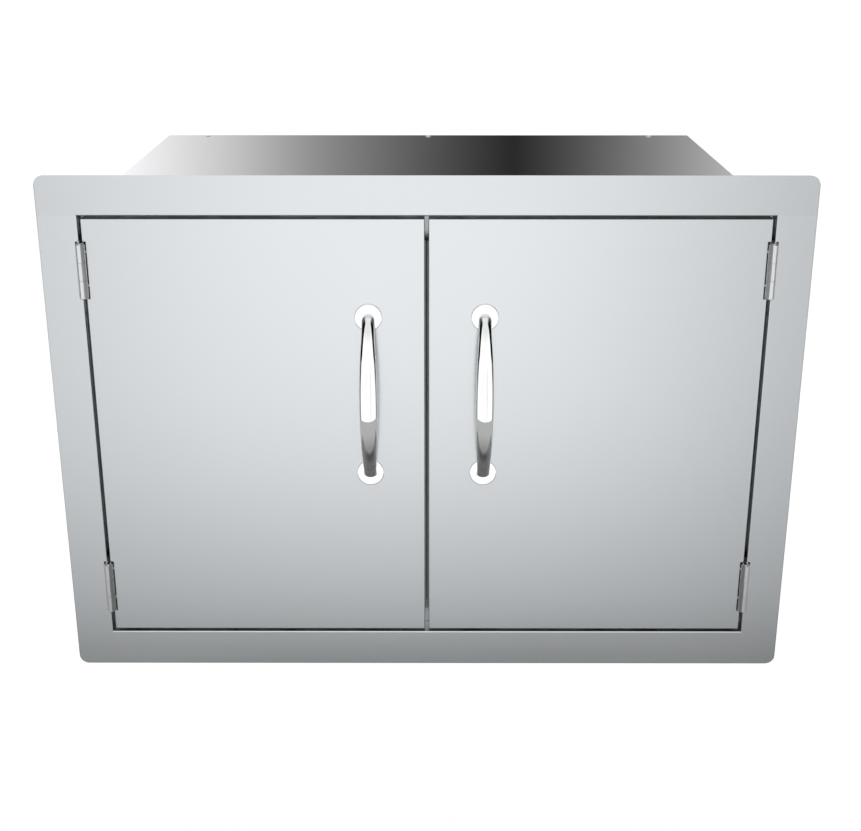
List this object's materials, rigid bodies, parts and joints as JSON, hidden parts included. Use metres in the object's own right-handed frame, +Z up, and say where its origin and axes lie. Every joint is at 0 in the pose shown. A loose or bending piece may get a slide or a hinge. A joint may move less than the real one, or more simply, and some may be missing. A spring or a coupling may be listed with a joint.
{
  "type": "double door dry storage pantry",
  "caption": "Built-in stainless steel dry storage cabinet: wide front flange, box behind, hinged double doors with arched handles, rubber seals, magnetic catches and a loose shelf.",
  "frame": {"origin": "centre of the back face of the front flange, the face that seats on the island", "axes": "+X to the right of someone facing the doors, +Y into the island, +Z up"},
  "size_m": [0.762, 0.5684, 0.5334],
  "materials": {
    "brushed_steel": "stainless steel brushed along the width",
    "box_steel": "plain bright cold rolled stainless sheet",
    "inner_steel": "plain dull stainless sheet",
    "hinge_steel": "satin stainless steel",
    "polished_steel": "mirror polished stainless steel",
    "fastener_steel": "bright stainless steel",
    "seal_rubber": "matt black rubber",
    "magnet": "bare ceramic magnet",
    "black_plastic": "moulded black plastic"
  },
  "bodies": {
    "cabinet": {"front_frame": "brushed_steel", "top_panel": "box_steel", "bottom_panel": "box_steel", "left_side_panel": "box_steel", "right_side_panel": "box_steel", "back_panel": "box_steel", "back_panel_rivets": "fastener_steel", "left_frame_gasket": "seal_rubber", "right_frame_gasket": "seal_rubber", "upper_catch_plate": "inner_steel", "lower_catch_plate": "inner_steel", "catch_magnets": "magnet", "catch_screws": "fastener_steel", "shelf": "inner_steel", "left_shelf_rail": "inner_steel", "right_shelf_rail": "inner_steel", "shelf_rail_rivets": "fastener_steel", "left_upper_frame_leaf": "hinge_steel", "left_lower_frame_leaf": "hinge_steel", "right_upper_frame_leaf": "hinge_steel", "right_lower_frame_leaf": "hinge_steel", "left_upper_hinge_pin": "fastener_steel", "left_lower_hinge_pin": "fastener_steel", "right_upper_hinge_pin": "fastener_steel", "right_lower_hinge_pin": "fastener_steel", "frame_leaf_rivets": "fastener_steel"},
    "left_door": {"left_door_skin": "brushed_steel", "left_door_liner": "inner_steel", "left_door_stiffener": "inner_steel", "left_door_meeting_seal": "seal_rubber", "left_upper_door_leaf": "hinge_steel", "left_lower_door_leaf": "hinge_steel", "left_door_leaf_rivets": "fastener_steel", "left_strike_plates": "fastener_steel", "left_strike_screws": "fastener_steel", "left_handle_bow": "polished_steel", "left_handle_rosettes": "polished_steel", "left_handle_screws": "fastener_steel", "left_handle_washers": "fastener_steel", "left_access_plugs": "black_plastic"},
    "right_door": {"right_door_skin": "brushed_steel", "right_door_liner": "inner_steel", "right_door_stiffener": "inner_steel", "right_door_meeting_seal": "seal_rubber", "right_upper_door_leaf": "hinge_steel", "right_lower_door_leaf": "hinge_steel", "right_door_leaf_rivets": "fastener_steel", "right_strike_plates": "fastener_steel", "right_strike_screws": "fastener_steel", "right_handle_bow": "polished_steel", "right_handle_rosettes": "polished_steel", "right_handle_screws": "fastener_steel", "right_handle_washers": "fastener_steel", "right_access_plugs": "black_plastic"}
  },
  "joints": [
    {"name": "left_door_swing", "type": "hinge", "parent": "cabinet", "child": "left_door", "pos_m": [-0.3401, -0.0047, 0], "axis": [0, 0, -1], "range_deg": [0, 170]},
    {"name": "right_door_swing", "type": "hinge", "parent": "cabinet", "child": "right_door", "pos_m": [0.3401, -0.0047, 0], "axis": [0, 0, 1], "range_deg": [0, 170]}
  ]
}
